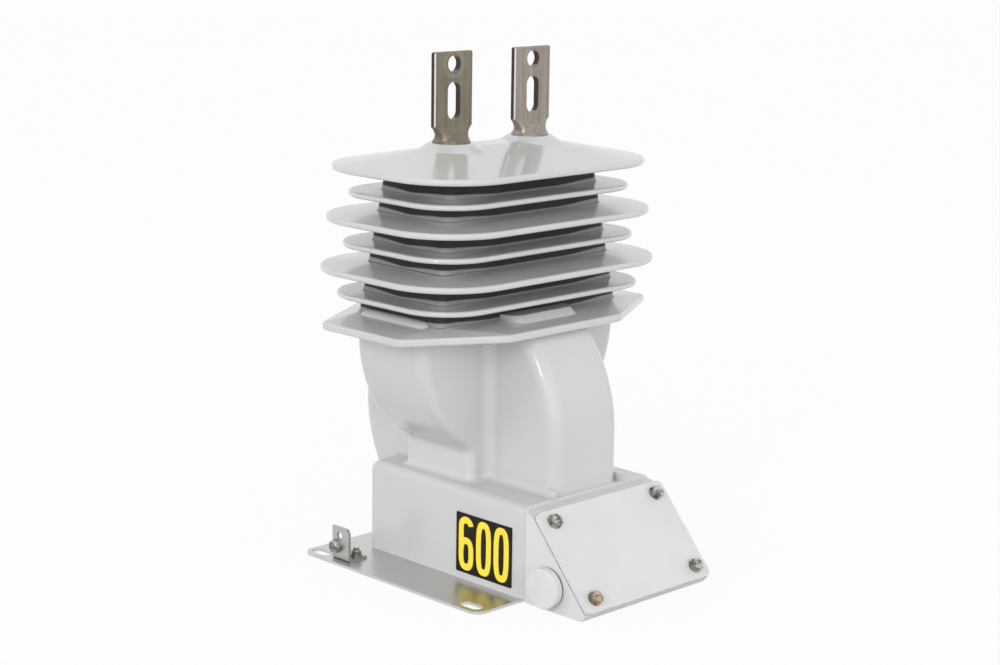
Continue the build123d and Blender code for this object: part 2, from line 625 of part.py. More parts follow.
def stud_hollow():
    """The hollow that a stud leaves in the resin."""
    root = Pos(0, 0, -STUD_ROOT_DEPTH - CAST_GAP) * hexagon(NUT_ACROSS + 2 * CAST_GAP, STUD_ROOT_LENGTH + 2 * CAST_GAP)
    return root + Pos(0, 0, -STUD_ROOT_DEPTH / 2) * Cylinder(STUD_R + CAST_GAP, STUD_ROOT_DEPTH + 2)


def lead(side, gap=0.0):
    """A lead from the front of the winding to the root of a stud, or the hollow round it."""
    x = side * STUD_SPACING / 2
    drop = RING_CENTRE_Z - TBLOCK_Z + LEAD_R
    inner_y = -math.sqrt((CORE_R + WINDING_T) ** 2 - drop ** 2)
    outer_y = -BLOCK_FRONT + STUD_ROOT_DEPTH + LEAD_CLEARANCE - gap
    length = inner_y - outer_y
    wire = along_y(x, outer_y + length / 2, TBLOCK_Z) * Cylinder(LEAD_R + gap, length)
    if gap:
        return wire
    return wire - winding_outside(LEAD_CLEARANCE)


def insert(gap=0.0):
    """A knurled brass insert with its mouth on the XY plane and its body below, bored for a screw."""
    body = Pos(0, 0, -INSERT_LENGTH / 2) * Cylinder(INSERT_R + gap, INSERT_LENGTH + 2 * gap)
    if gap:
        return body
    return body - Pos(0, 0, -INSERT_LENGTH / 2) * Cylinder(SCREW_R + CAST_GAP, INSERT_LENGTH + 4)


def box_insert_places():
    """Where the box's screws meet the casting, local Z pointing out."""
    return [along_y(x, -BLOCK_FRONT, z) for x, z in box_screw_points()]


def plate_insert_places():
    """Where the plate's screws meet the casting, local Z pointing down."""
    return [Location(Plane(origin=(x, y, PLATE_T), x_dir=(1, 0, 0), z_dir=(0, 0, -1))) for x, y in plate_screw_points()]


def countersunk_screw():
    """A countersunk screw whose head lies flush with the plate's underside."""
    cone_h = PLATE_SCREW_HEAD_R - SCREW_R
    head = loft([Pos(0, 0, PLATE_T) * Circle(PLATE_SCREW_HEAD_R), Pos(0, 0, PLATE_T - cone_h) * Circle(SCREW_R)])
    head -= Pos(0, 0, PLATE_T) * Box(HEAD_SLOT_WIDTH, 3 * PLATE_SCREW_HEAD_R, 2)
    return head + Pos(0, 0, PLATE_T - cone_h - PLATE_SCREW_LENGTH / 2) * Cylinder(SCREW_R, PLATE_SCREW_LENGTH)


def countersink(gap):
    """The tapered seat of a plate screw, through the plate and into the insert's mouth."""
    cone_h = PLATE_SCREW_HEAD_R - SCREW_R
    low = Pos(0, 0, PLATE_T) * Circle(PLATE_SCREW_HEAD_R + gap)
    high = Pos(0, 0, PLATE_T - cone_h) * Circle(SCREW_R + gap)
    return loft([low, high]) + Pos(0, 0, PLATE_T - cone_h) * Cylinder(SCREW_R + gap, 2 * cone_h)


def resin_body():
    """The whole casting, with the hollows of the pieces cast into it."""
    body = column() + top_shed() + last_shed()
    for k in range(1, SHED_COUNT):
        rim_z = SHED_TOP_Z - k * SHED_PITCH
        if k % 2:
            body += shed(rim_z - NARROW_DROP, SHED_NARROW, RIM_NARROW_T, NARROW_RISE)
        else:
            body += shed(rim_z, SHED_WIDE, RIM_WIDE_T, WIDE_RISE)
    body += ring_housing() + u_housing() + base_block()
    for sx in (-1, 1):
        for sy in (-1, 1):
            body += hollow_corner(sx * RING_HOUSING_HALF_X, sy * U_HALF_Y, PLATE_T + 30, LAST_SHED_Z + LAST_RIM_T)
        body += foot_hollow(sx)
        body += terminal_boss(sx * TERMINAL_SPACING / 2)
    body = body - winding_outside(CAST_GAP) - primary_bar(CAST_GAP)
    for side in (-1, 1):
        body = body - stem_hollow(side) - lead(side, CAST_GAP)
    for place in stud_places(0):
        body -= place * stud_hollow()
    for place in box_insert_places() + plate_insert_places():
        body -= place * insert(CAST_GAP)
    return body


def base_plate():
    """The sheet plate with its mounting slots, countersinks and the seat of the lug's stud."""
    middle_y = (PLATE_BACK - PLATE_FRONT) / 2
    outline = Pos(0, middle_y) * RectangleRounded(2 * PLATE_HALF_X, PLATE_FRONT + PLATE_BACK, PLATE_CORNER)
    for sx in (-1, 1):
        for sy in (-1, 1):
            place = Pos(sx * SLOT_SPACING_X / 2, SLOT_MIDDLE_Y + sy * SLOT_SPACING_Y / 2)
            outline -= place * Rot(0, 0, 90) * SlotOverall(SLOT_LENGTH, SLOT_WIDTH)
    plate = extrude(outline, PLATE_T)
    for place in plate_insert_places():
        plate -= place * countersink(CAST_GAP)
    plate -= Pos(LUG_STUD_X, LUG_STUD_Y, 0) * lug_stud(CAST_GAP)
    return plate


def lug_stud(gap=0.0):
    """The stud pressed into the plate from below, its head flush with the underside."""
    head = extrude(Circle(STUD_R * 1.7 + gap), 1.2 + gap)
    shank = extrude(Circle(STUD_R * 0.85 + gap), PLATE_T + LUG_T + WASHER_T + NUT_T + 1.5)
    return head + shank


def ground_lug():
    """The angle that takes the ground wire: an upright with a hole and a bolt, on a short foot."""
    middle_y = (LUG_FRONT_Y + LUG_BACK_Y) / 2
    width = LUG_BACK_Y - LUG_FRONT_Y
    height = LUG_TOP_Z - PLATE_T
    upright = Pos(LUG_FACE_X + LUG_T / 2, middle_y, PLATE_T + height / 2) * Box(LUG_T, width, height)
    corners = upright.edges().filter_by(Axis.X).filter_by(lambda e: e.center().Z > LUG_TOP_Z - 0.01)
    upright = fillet(corners.filter_by(lambda e: e.center().Y < middle_y), 5.0)
    foot = Pos(LUG_FACE_X + LUG_FOOT_LENGTH / 2, middle_y, PLATE_T + LUG_T / 2) * Box(LUG_FOOT_LENGTH, width, LUG_T)
    lug = upright + foot
    inner = lug.edges().filter_by(Axis.Y).filter_by(
        lambda e: abs(e.center().X - LUG_FACE_X - LUG_T) < 0.01 and abs(e.center().Z - PLATE_T - LUG_T) < 0.01)
    lug = fillet(inner, 1.5)
    outer = lug.edges().filter_by(Axis.Y).filter_by(
        lambda e: abs(e.center().X - LUG_FACE_X) < 0.01 and abs(e.center().Z - PLATE_T) < 0.01)
    lug = fillet(outer, 2.0)
    lug -= Pos(LUG_FACE_X, LUG_HOLE_Y, LUG_HOLE_Z) * Rot(0, 90, 0) * Cylinder(LUG_HOLE_R, 4 * LUG_T)
    lug -= Pos(LUG_FACE_X, LUG_BOLT_Y, LUG_BOLT_Z) * Rot(0, 90, 0) * Cylinder(SCREW_R + SCREW_CLEARANCE, 4 * LUG_T)
    lug -= Pos(LUG_STUD_X, LUG_STUD_Y, PLATE_T) * Cylinder(STUD_R * 0.85 + SCREW_CLEARANCE, 4 * LUG_T)
    return lug


def lug_bolt_place(lift):
    """The ground bolt's place, local Z pointing along -X, a distance out from the upright."""
    return Location(Plane(origin=(LUG_FACE_X - lift, LUG_BOLT_Y, LUG_BOLT_Z), x_dir=(0, 1, 0), z_dir=(-1, 0, 0)))


def conduit_plug():
    """The closing plug: a flat head outside and a stem in the hole."""
    head_x = -BLOCK_HALF_X - SEAL_T
    head = extrude(Circle(PLUG_HEAD_R), PLUG_HEAD_T)
    head = fillet(head.edges().filter_by(lambda e: e.center().Z > PLUG_HEAD_T - 0.01), 1.5)
    stem_length = SEAL_T + BOX_WALL + CONDUIT_BOSS_LENGTH
    stem = extrude(Circle(CONDUIT_R - PLUG_CLEARANCE) - Circle(CONDUIT_R - 3), -stem_length)
    place = Location(Plane(origin=(head_x, CONDUIT_Y, CONDUIT_Z), x_dir=(0, 1, 0), z_dir=(-1, 0, 0)))
    return place * (head + stem)


def plug_seal():
    """The rubber ring under the plug's head."""
    place = Location(Plane(origin=(-BLOCK_HALF_X, CONDUIT_Y, CONDUIT_Z), x_dir=(0, 1, 0), z_dir=(-1, 0, 0)))
    return place * washer(SEAL_R, CONDUIT_R + PLUG_CLEARANCE, SEAL_T)


def shorting_link():
    """The brass strap that joins the two studs while the secondary is not in use."""
    strap = SlotOverall(STUD_SPACING + LINK_WIDTH, LINK_WIDTH)
    for side in (-1, 1):
        strap -= Pos(side * STUD_SPACING / 2, 0) * Circle(STUD_R + SCREW_CLEARANCE)
    lift = TBLOCK_T + STUD_WASHER_T + NUT_T
    return along_y(0, -BLOCK_FRONT - lift, TBLOCK_Z) * extrude(strap, LINK_T)


def rating_label():
    """The thin label plate on the block's left face."""
    middle_y = (LABEL_FRONT_Y + LABEL_BACK_Y) / 2
    middle_z = (LABEL_BOTTOM_Z + LABEL_TOP_Z) / 2
    place = Plane(origin=(-BLOCK_HALF_X, middle_y, middle_z), x_dir=(0, 1, 0), z_dir=(-1, 0, 0))
    outline = RectangleRounded(LABEL_BACK_Y - LABEL_FRONT_Y, LABEL_TOP_Z - LABEL_BOTTOM_Z, 1.0)
    return extrude(place * outline, LABEL_T)


def group(shapes):
    """Separate solids that share one node."""
    return Compound(children=[s if isinstance(s, Solid) else s.solid() for s in shapes])


nut_lift = TBLOCK_T + STUD_WASHER_T
link_lift = nut_lift + NUT_T
outer_washer_lift = link_lift + LINK_T
outer_nut_lift = outer_washer_lift + STUD_WASHER_T
foot_top = PLATE_T + LUG_T

nodes = {
    "resin_body": resin_body(),
    "ring_core": ring_core(),
    "secondary_winding": winding_outside() - ring_core(CAST_GAP),
    "primary_bar": primary_bar(),
    "terminal_left": terminal(-1),
    "terminal_right": terminal(1),
    "secondary_leads": group([lead(-1), lead(1)]),
    "secondary_studs": group([p * secondary_stud() for p in stud_places(0)]),
    "terminal_block": terminal_block(),
    "stud_washers": group([p * washer(STUD_WASHER_R, STUD_R + CAST_GAP, STUD_WASHER_T)
                           for p in stud_places(TBLOCK_T) + stud_places(outer_washer_lift)]),
    "stud_nuts": group([p * nut(NUT_ACROSS, NUT_T, STUD_R + CAST_GAP)
                        for p in stud_places(nut_lift) + stud_places(outer_nut_lift)]),
    "shorting_link": shorting_link(),
    "box_housing": box_housing(),
    "box_screws": group([along_y(x, -BLOCK_FRONT - BOX_WALL, z) * slotted_head_screw(BOX_SCREW_LENGTH)
                         for x, z in box_screw_points()]),
    "box_inserts": group([p * insert() for p in box_insert_places()]),
    "box_ground_screw": along_y(GROUND_SCREW_X, -BLOCK_FRONT - BOX_WALL, GROUND_SCREW_Z)
                        * slotted_head_screw(BOX_WALL - CAST_GAP),
    "box_cover": cover_plate(COVER_T, 0),
    "cover_gasket": cover_gasket(),
    "cover_washers": group(on_cover(0, washer(WASHER_R, SCREW_R + CAST_GAP, WASHER_T))),
    "cover_screws": group(on_cover(-WASHER_T, slotted_head_screw(COVER_T + GASKET_T + SCREW_BOSS_LENGTH - 2))),
    "conduit_plug": conduit_plug(),
    "plug_seal": plug_seal(),
    "base_plate": base_plate(),
    "plate_inserts": group([p * (insert() - countersink(CAST_GAP)) for p in plate_insert_places()]),
    "plate_screws": group([p * countersunk_screw() for p in plate_insert_places()]),
    "ground_lug": ground_lug(),
    "lug_stud": Pos(LUG_STUD_X, LUG_STUD_Y, 0) * lug_stud(),
    "lug_washer": Pos(LUG_STUD_X, LUG_STUD_Y, foot_top) * washer(STUD_R * 1.7, STUD_R * 0.85 + CAST_GAP, WASHER_T),
    "lug_nut": Pos(LUG_STUD_X, LUG_STUD_Y, foot_top + WASHER_T) * nut(8.0, 4.0, STUD_R * 0.85 + CAST_GAP),
    "ground_bolt": lug_bolt_place(WASHER_T) * slotted_head_screw(LUG_BOLT_LENGTH),
    "ground_washers": lug_bolt_place(0) * washer(WASHER_R, SCREW_R + CAST_GAP, WASHER_T),
    "ground_nut": lug_bolt_place(-LUG_T - NUT_T) * nut(NUT_ACROSS, NUT_T, SCREW_R + CAST_GAP),
    "rating_label": rating_label(),
}

for name, shape in nodes.items():
    export_step(shape, "parts/" + name + ".step")
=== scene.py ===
"""Finishes, markings and studio stage for an outdoor current transformer of cast resin.

Metres, +Z up, in the frame of the packed model: the origin is midway between the terminals on the
underside of the base plate, +X runs to the right terminal and -Y faces the secondary box.
"""
import math

import bpy
import numpy as np
from bpy.props import FloatProperty, FloatVectorProperty, PointerProperty
from mathutils import Matrix, Vector


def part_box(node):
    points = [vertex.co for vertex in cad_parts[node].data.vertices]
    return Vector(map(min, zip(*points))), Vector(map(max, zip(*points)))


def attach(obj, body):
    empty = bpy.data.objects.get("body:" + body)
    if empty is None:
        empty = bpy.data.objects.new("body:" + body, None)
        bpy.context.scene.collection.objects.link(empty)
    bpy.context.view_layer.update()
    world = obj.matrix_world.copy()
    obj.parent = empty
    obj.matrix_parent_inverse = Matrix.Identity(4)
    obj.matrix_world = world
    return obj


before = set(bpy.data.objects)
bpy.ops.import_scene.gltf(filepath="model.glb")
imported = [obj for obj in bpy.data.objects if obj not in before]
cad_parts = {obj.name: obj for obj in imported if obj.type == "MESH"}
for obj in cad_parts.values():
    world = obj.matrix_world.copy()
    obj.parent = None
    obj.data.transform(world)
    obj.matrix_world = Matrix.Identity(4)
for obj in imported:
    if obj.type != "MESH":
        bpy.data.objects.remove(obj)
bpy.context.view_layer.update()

bl_info = {
    "name": "Cast Resin Current Transformer",
    "version": (1, 0, 0),
    "blender": (4, 5, 0),
    "location": "View3D > Sidebar > Transformer",
    "description": "Dresses an outdoor current transformer and sets up its studio stage",
    "category": "Object",
}

# Column of the casting: half length, half depth and corner radius at its head and foot, and both heights
COLUMN_HEAD = (0.0875, 0.0435, 0.012)
COLUMN_FOOT = (0.109, 0.0535, 0.008)
HEAD_Z = 0.350
FOOT_Z = 0.2134

# Height of the top shed's rim, above which no column shows
TOP_SHED_Z = 0.3445

# Heights at which a narrow and a wide shed meet the column, and the rise from one pair to the next
NARROW_ROOT_Z = 0.24205
WIDE_ROOT_Z = 0.2240
PAIR_PITCH = 0.0429

# Painted shade on the column between the sheds: the heights over which it sets in and over which it
# ends, and its reach off the face
GAP_SHADE_FROM_Z = (FOOT_Z + 0.0085, FOOT_Z + 0.0105)
GAP_SHADE_TO_Z = (TOP_SHED_Z + 0.001, TOP_SHED_Z + 0.003)
GAP_SHADE_REACH = (0.0004, 0.0012)

# Lighter foot of the painted column shade above each shed, standing in for light on a fillet at the
# shed's root: its height at a corner and along a side, the distances from the corner over which it gets
# lower, the depth of its soft upper boundary, and the share of the painted shade that it keeps
ROOT_AT_CORNER = 0.0046
ROOT_ALONG_SIDE = 0.0018
ROOT_SHRINKS = (0.004, 0.060)
ROOT_EDGE = 0.0016
ROOT_SHARE = 0.55

# Painted shade on the sheds' tops: the distances from the column and the heights over which it sets in
TOP_SHADE_REACH = (0.004, 0.020)
TOP_SHADE_FROM_Z = (FOOT_Z + 0.015, FOOT_Z + 0.020)

# Terminals: half their spacing, the heights of the round hole and of the pad's foot, and half the pad's
# width and thickness
TERMINAL_X = 0.0467
HOLE_Z = 0.4339
PAD_FOOT_Z = 0.3815
PAD_HALF = 0.02185
PAD_FRONT_Y = 0.00285

# Painted highlight on the pads' front edges: how far behind the face it ends, and how far in from the side
# it starts
HIGHLIGHT_DEPTH = (0.0010, 0.0013)
HIGHLIGHT_WIDTH = (0.0025, 0.0022)

# Ring worn into a pad round its hole: the radii over which it sets in and over which it ends
WORN_FROM = (0.0082, 0.0095)
WORN_TO = (0.0112, 0.0130)

# Ring core: its centre's height, the pitch of its turns, and the number and slant of the tape's laps
RING_Z = 0.1264
TURN_PITCH = 0.0006
TAPE_LAPS = 144
TAPE_SLANT = 30

# Plating turned brown at the cover's lower left screw: heights and places over which the brown fades out
BROWN_Z = (0.020, 0.050)
BROWN_X = (-0.01, 0.01)
BROWN_Y = (-0.14, -0.13)

# Print on the label: the gap between digits, the six's bowl as a share of its height, the distance off the
# film, the thickness of a stroke, and that of the stroke that crosses another one
DIGIT_GAP = 0.0031
BOWL_SHARE = 0.56
PRINT_OFF_FILM = 0.00002
PRINT_LIFT = 0.00012
CROSSING_LIFT = 0.00015

# Lamps: the place and size of each, and the point that all of them face
LAMPS = {
    "key": ((-2.1, -1.2, 0.70), (1.8, 1.2)),
    "fill": ((1.1, -2.4, 0.95), (2.0, 1.8)),
    "top": ((-0.1, -0.1, 2.4), (1.9, 1.9)),
    "front": ((-1.1, -2.0, 0.75), (1.4, 1.2)),
    "strip": ((-2.1, -0.80, 1.15), (0.05, 0.60)),
}
LAMP_AIM = (0, 0, 0.2)

# Floor: half its side, its tone as light meets it and as it is seen, and the share of plain white in what
# is seen of it
FLOOR_HALF = 14.0
FLOOR_TONE = 0.50
FLOOR_SEEN_TONE = 0.95
FLOOR_WHITE = 0.90

# Surroundings: the heights on a unit sphere at which the light has its horizon's and its zenith's strength
HORIZON_UP = 0.05
ZENITH_UP = 0.9

# Camera: its place, its yaw, pitch and roll in degrees, its lens and sensor width in millimetres, and how
# far it sees
CAMERA_PLACE = (-1.27171, -1.30066, 0.58971)
CAMERA_TURN = (44.670, -12.153, 0.836)
CAMERA_LENS = 76.786
SENSOR_WIDTH = 36.0
CAMERA_END = 60.0


def colour_property(label, words, default):
    """A colour that a user can change, in linear RGB."""
    limits = {"subtype": "COLOR", "size": 3, "min": 0, "max": 1}
    return FloatVectorProperty(name=label, description=words, default=default, **limits)


def share_property(label, words, default):
    """A number from 0 to 1 that a user can change."""
    return FloatProperty(name=label, description=words, subtype="FACTOR", min=0, max=1, default=default)


def length_property(label, words, default):
    """A length that a user can change."""
    return FloatProperty(name=label, description=words, unit="LENGTH", default=default)


def power_property(label, words, default):
    """A lamp's power that a user can change."""
    return FloatProperty(name=label, description=words, unit="POWER", default=default)


def strength_property(label, words, default):
    """A strength of the surroundings that a user can change."""
    return FloatProperty(name=label, description=words, min=0, default=default)


class CastingLook(bpy.types.PropertyGroup):
    """Finish of the resin casting."""
    resin: colour_property("Resin", "Colour of the cured resin", (0.585, 0.585, 0.580))
    # Colour of the painted shade on the column between the sheds, which the painted shade on the sheds' tops
    # also takes
    gap_shade: colour_property("Groove", "Colour of the column deep between the sheds", (0.010, 0.010, 0.010))
    # Strength of a painted shade on the sheds' tops
    top_shade: share_property("Grime", "Strength of the thin grime on the sheds' tops", 0.04)
    gloss: share_property("Roughness", "Roughness of the moulded skin", 0.23)


class MetalLook(bpy.types.PropertyGroup):
    """Finish of the terminals, the plate and the small hardware."""
    tin_left: colour_property("Left tin", "Colour of the more tarnished terminal", (0.215, 0.195, 0.150))
    tin_right: colour_property("Right tin", "Colour of the right terminal", (0.320, 0.285, 0.250))
    # Colour of a painted highlight on the pads' front edges
    edge: colour_property("Edge", "Colour of the pads' rubbed front edges", (0.62, 0.59, 0.55))
    # Colour of painted shade on the pads' side walls and hole walls
    shaded: colour_property("Sheared", "Colour of the pads' sheared walls", (0.036, 0.028, 0.030))
    plate: colour_property("Plate", "Colour of the brushed sheet", (0.60, 0.60, 0.59))
    hardware: colour_property("Hardware", "Colour of the zinc-plated screws and nuts", (0.56, 0.53, 0.49))


class BoxLook(bpy.types.PropertyGroup):
    """Finish of the secondary box, its cover and its plug."""
    paint: colour_property("Paint", "Colour of the box's paint", (0.69, 0.69, 0.69))
    plug: colour_property("Plug", "Colour of the moulded plug", (0.71, 0.71, 0.71))


class LabelLook(bpy.types.PropertyGroup):
    """Rating label and its digits."""
    film: colour_property("Film", "Colour of the label's film", (0.012, 0.010, 0.006))
    ink: colour_property("Ink", "Colour of the digits", (1.0, 0.82, 0.055))
    digit_height: length_property("Digit height", "Height of the digits", 0.0472)
    digit_width: length_property("Digit width", "Width of one digit", 0.0180)
    stroke: length_property("Stroke", "Width of a digit's stroke", 0.0059)


class StageLook(bpy.types.PropertyGroup):
    """Lamps and pale surroundings."""
    key: power_property("Key lamp", "Power of the large lamp at the left", 4)
    fill: power_property("Fill lamp", "Power of the large lamp at the right", 1)
    top: power_property("Top lamp", "Power of the lamp overhead", 1)
    front: power_property("Front lamp", "Power of the lamp by the camera", 4)
    strip: power_property("Strip lamp", "Power of the narrow lamp at the left", 6)
    horizon: strength_property("Horizon", "Strength of the pale surroundings at the horizon", 2.1)
    zenith: strength_property("Zenith", "Strength of the pale surroundings overhead", 0.30)


class Wire:
    """One socket's value. Arithmetic on it adds Math nodes to its tree."""

    def __init__(self, nodes, socket):
        self.nodes = nodes
        self.socket = socket

    def __add__(self, other):
        return self.nodes.sum("ADD", self, other)

    def __radd__(self, other):
        return self.nodes.sum("ADD", other, self)

    def __sub__(self, other):
        return self.nodes.sum("SUBTRACT", self, other)

    def __rsub__(self, other):
        return self.nodes.sum("SUBTRACT", other, self)

    def __mul__(self, other):
        return self.nodes.sum("MULTIPLY", self, other)

    def __rmul__(self, other):
        return self.nodes.sum("MULTIPLY", other, self)

    def __truediv__(self, other):
        return self.nodes.sum("DIVIDE", self, other)

    def __rtruediv__(self, other):
        return self.nodes.sum("DIVIDE", other, self)

    def __abs__(self):
        return self.nodes.sum("ABSOLUTE", self)


class Nodes:
    """A node tree under construction, with its output and the maths that feeds it."""

    def __init__(self, tree, output_kind):
        self.tree = tree
        self.tree.nodes.clear()
        self.output = self.tree.nodes.new(output_kind)

    def show(self, shader):
        """Makes a shader the one that the output shows."""
        self.tree.links.new(shader.socket, self.output.inputs["Surface"])

    def node(self, kind, settings, values, output=0):
        """Adds a node with its settings, then each socket's value or link, and returns one output."""
        node = self.tree.nodes.new(kind)
        for key, value in settings.items():
            setattr(node, key, value)
        for key, value in values.items():
            socket = self.find(node.inputs, key)
            if isinstance(value, Wire):
                self.tree.links.new(value.socket, socket)
            elif hasattr(value, "__len__") and socket.type == "RGBA":
                socket.default_value = (*tuple(value)[:3], 1)
            else:
                socket.default_value = value
        return Wire(self, self.find(node.outputs, output))

    def find(self, sockets, key):
        """A socket by its place, its identifier or its name."""
        if isinstance(key, int):
            return sockets[key]
        named = [s for s in sockets if s.identifier == key]
        return named[0] if named else sockets[key]

    def sum(self, operation, first, second=None):
        """A Math node on one or two values."""
        values = {0: first} if second is None else {0: first, 1: second}
        return self.node("ShaderNodeMath", {"operation": operation}, values)

    def smaller(self, first, second):
        """The smaller of two values."""
        return self.sum("MINIMUM", first, second)

    def larger(self, first, second):
        """The larger of two values."""
        return self.sum("MAXIMUM", first, second)

    def length(self, first, second):
        """The length of the hypotenuse over two values."""
        return self.sum("SQRT", first * first + second * second)

    def part(self, vector, axis):
        """One component of a vector."""
        return self.node("ShaderNodeSeparateXYZ", {}, {0: vector}, axis)

    def step(self, value, low, high, first=0.0, last=1.0, course="SMOOTHSTEP"):
        """A step from first to last as the value goes from low to high, on a smooth or another course."""
        settings = {"interpolation_type": course, "clamp": True}
        values = {0: value, 1: low, 2: high, 3: first, 4: last}
        return self.node("ShaderNodeMapRange", settings, values)

    def seen(self):
        """1 for the camera's own rays and for mirrored and passed ones, and 0 for those of soft light."""
        kinds = ("Is Camera Ray", "Is Glossy Ray", "Is Transmission Ray")
        direct, mirrored, passed = (self.node("ShaderNodeLightPath", {}, {}, kind) for kind in kinds)
        return self.smaller(direct + mirrored + passed, 1.0)


class Finish(Nodes):
    """A material under construction, with its shader and the place on the object."""

    def __init__(self, name):
        self.material = bpy.data.materials.new(name)
        self.material.use_nodes = True
        super().__init__(self.material.node_tree, "ShaderNodeOutputMaterial")
        self.shader = self.tree.nodes.new("ShaderNodeBsdfPrincipled")
        self.skin = Wire(self, self.shader.outputs["BSDF"])
        self.show(self.skin)
        self.place = self.node("ShaderNodeTexCoord", {}, {}, "Object")
        self.x = self.part(self.place, "X")
        self.y = self.part(self.place, "Y")
        self.z = self.part(self.place, "Z")

    def stretched(self, across, along, up):
        """The place on the object, scaled along each axis."""
        values = {0: self.place, 1: (across, along, up)}
        return self.node("ShaderNodeVectorMath", {"operation": "MULTIPLY"}, values)

    def noise(self, place, scale, detail):
        """Smooth noise from 0 to 1, with its waves per unit of length and its number of finer octaves."""
        values = {"Vector": place, "Scale": scale, "Detail": detail, "Roughness": 0.5}
        return self.node("ShaderNodeTexNoise", {}, values, "Fac")

    def blend(self, share, first, second, mode="MIX"):
        """A colour between two, by a share from 0 to 1."""
        settings = {"data_type": "RGBA", "blend_type": mode}
        values = {"Factor_Float": share, "A_Color": first, "B_Color": second}
        return self.node("ShaderNodeMix", settings, values, "Result_Color")

    def facing(self, axis):
        """How far the surface faces along an axis, from -1 to 1."""
        return self.part(self.node("ShaderNodeNewGeometry", {}, {}, "Normal"), axis)

    def bump(self, height, strength, depth):
        """Raises the surface by a height from 0 to 1, in metres of depth."""
        values = {"Strength": strength, "Distance": depth, "Height": height}
        self.give("Normal", self.node("ShaderNodeBump", {}, values))

    def give(self, socket, value):
        """Sets one of the shader's sockets to a constant or a varying value."""
        target = self.shader.inputs[socket]
        if isinstance(value, Wire):
            self.tree.links.new(value.socket, target)
        elif hasattr(value, "__len__"):
            target.default_value = (*tuple(value)[:3], 1)
        else:
            target.default_value = value


def tinted(colour, share):
    """A colour made lighter or darker by a share."""
    return tuple(min(1.0, c * share) for c in colour)


def resin_finish(look):
    """Moulded resin: a pale glossy skin with faint clouds and waves, and painted shade on the sheds' tops
    and on the column between the sheds.

    The column's half sizes and corner radius run evenly from its head to its foot, and a point's distance
    from it is that from a rounded rectangle: hypot(max(|x| - a, 0), max(|y| - b, 0)) - r, where a and b are
    the half sizes less the radius r. The painted shade is lighter on the lowest few millimetres of the
    column above each shed, standing in for light on a fillet at the shed's root. A point's rise above the
    shed is the smaller of (z - root) mod pitch for the narrow and the wide sheds.
    """
    f = Finish("cast_resin")
    clouds = f.noise(f.place, scale=9, detail=3)
    skin = f.blend(f.step(clouds, 0.3, 0.7), tinted(look.resin, 0.985), tinted(look.resin, 1.015))
    drop = (HEAD_Z - f.z) / (HEAD_Z - FOOT_Z)
    half_x, half_y, corner = (drop * (foot - head) + head for head, foot in zip(COLUMN_HEAD, COLUMN_FOOT))
    across = f.larger(abs(f.x) - half_x + corner, 0.0)
    along = f.larger(abs(f.y) - half_y + corner, 0.0)
    outside = f.length(across, along) - corner
    between = f.step(f.z, *GAP_SHADE_FROM_Z) * f.step(f.z, *GAP_SHADE_TO_Z, 1.0, 0.0)
    narrow_rise = f.sum("FLOORED_MODULO", f.z - NARROW_ROOT_Z, PAIR_PITCH)
    wide_rise = f.sum("FLOORED_MODULO", f.z - WIDE_ROOT_Z, PAIR_PITCH)
    rise = f.smaller(narrow_rise, wide_rise)
    # Lighter foot of the painted column shade, standing in for light on a fillet at each shed's root
    from_corner = f.length(half_x - abs(f.x), half_y - abs(f.y))
    root = f.step(from_corner, *ROOT_SHRINKS, ROOT_AT_CORNER, ROOT_ALONG_SIDE)
    # Painted shade on the sheds' tops, in the colour of the painted column shade
    covered = f.step(outside, *TOP_SHADE_REACH, 0.0, look.top_shade) * f.step(f.z, *TOP_SHADE_FROM_Z)
    top_shade = covered * between * f.step(f.facing("Z"), 0.4, 0.8)
    skin = f.blend(top_shade, skin, look.gap_shade)
    # Painted shade on the column between the sheds, weaker on its lowest few millimetres above each shed
    depth = f.step(rise, root - ROOT_EDGE, root, ROOT_SHARE, 1.0)
    gap_shade = f.step(outside, *GAP_SHADE_REACH, 1.0, 0.0) * between * depth
    f.give("Base Color", f.blend(gap_shade, skin, look.gap_shade))
    patches = f.noise(f.place, scale=40, detail=2)
    f.give("Roughness", f.step(patches, 0.3, 0.7, look.gloss - 0.03, look.gloss + 0.03) + gap_shade * 0.3)
    f.give("Coat Weight", f.step(gap_shade, 0.0, 1.0, 0.45, 0.0))
    f.give("Coat Roughness", 0.05)
    waves = f.noise(f.place, scale=22, detail=1)
    f.bump(waves, strength=0.05, depth=0.0008)
    return f.material


